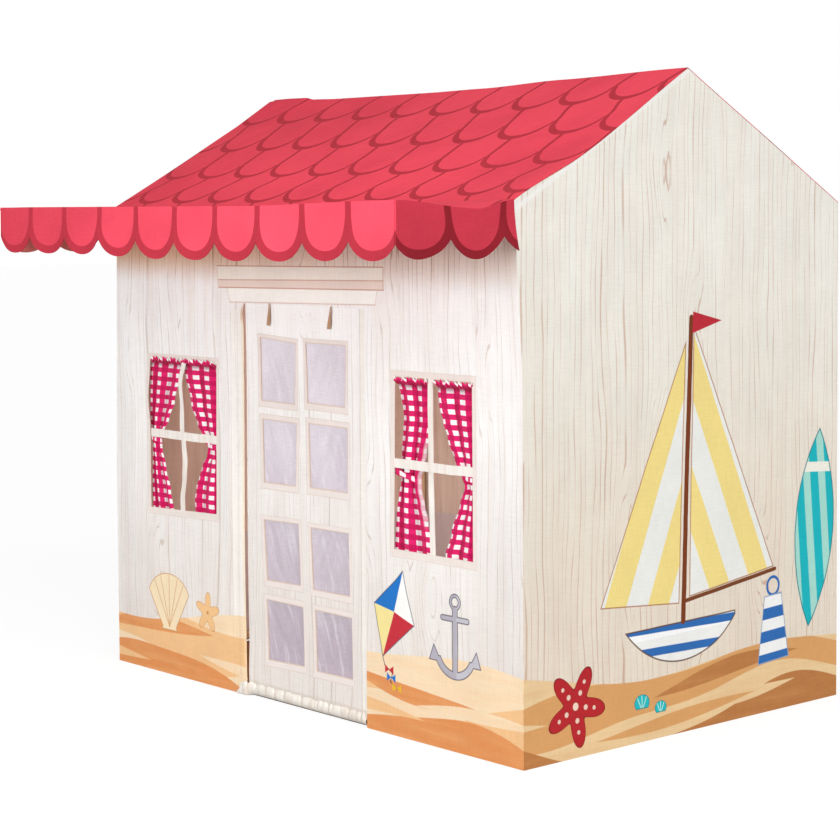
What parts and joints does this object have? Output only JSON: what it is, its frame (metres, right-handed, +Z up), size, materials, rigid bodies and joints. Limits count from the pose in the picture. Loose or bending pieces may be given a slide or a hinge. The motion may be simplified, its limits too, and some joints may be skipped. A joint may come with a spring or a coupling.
{
  "type": "fabric play house",
  "caption": "Child's play house of printed canvas over a pole frame: gable roof, scalloped awning, roll-up door with sheer panes, curtained windows.",
  "frame": {"origin": "on the floor under the middle of the whole plan, awning included", "axes": "+X to the right as seen from the front, +Y from the front to the back, +Z up"},
  "size_m": [1.3, 1.197, 1.276],
  "materials": {
    "pole_wood": "sanded round pole",
    "socket_plastic": "moulded socket",
    "wall_canvas": "printed cotton canvas",
    "roof_canvas": "printed cotton canvas, red",
    "sheer": "sheer voile",
    "ribbon": "woven tape",
    "gingham": "gingham cotton, magenta and white"
  },
  "bodies": {
    "root": {"front_posts": "pole_wood", "back_posts": "pole_wood", "front_floor_pole": "pole_wood", "back_floor_pole": "pole_wood", "left_floor_pole": "pole_wood", "right_floor_pole": "pole_wood", "front_eaves_pole": "pole_wood", "back_eaves_pole": "pole_wood", "left_rafters": "pole_wood", "right_rafters": "pole_wood", "ridge_pole": "pole_wood", "awning_arms": "pole_wood", "awning_front_pole": "pole_wood", "floor_sockets": "socket_plastic", "eaves_sockets": "socket_plastic", "ridge_sockets": "socket_plastic", "awning_sockets": "socket_plastic", "front_wall_left": "wall_canvas", "front_wall_right": "wall_canvas", "front_wall_header": "wall_canvas", "back_wall": "wall_canvas", "gable_wall_left": "wall_canvas", "gable_wall_right": "wall_canvas", "roof_front": "roof_canvas", "roof_back": "roof_canvas", "awning_canopy": "roof_canvas", "valance_front": "roof_canvas", "valance_left": "roof_canvas", "valance_right": "roof_canvas", "door_flap": "wall_canvas", "door_sheers": "sheer", "threshold_sleeve": "wall_canvas", "door_ribbons": "ribbon", "window_cross_left": "wall_canvas", "window_cross_right": "wall_canvas", "left_window_left_curtain": "gingham", "left_window_right_curtain": "gingham", "right_window_left_curtain": "gingham", "right_window_right_curtain": "gingham", "curtain_tapes": "gingham", "tie_backs": "gingham"}
  },
  "joints": []
}
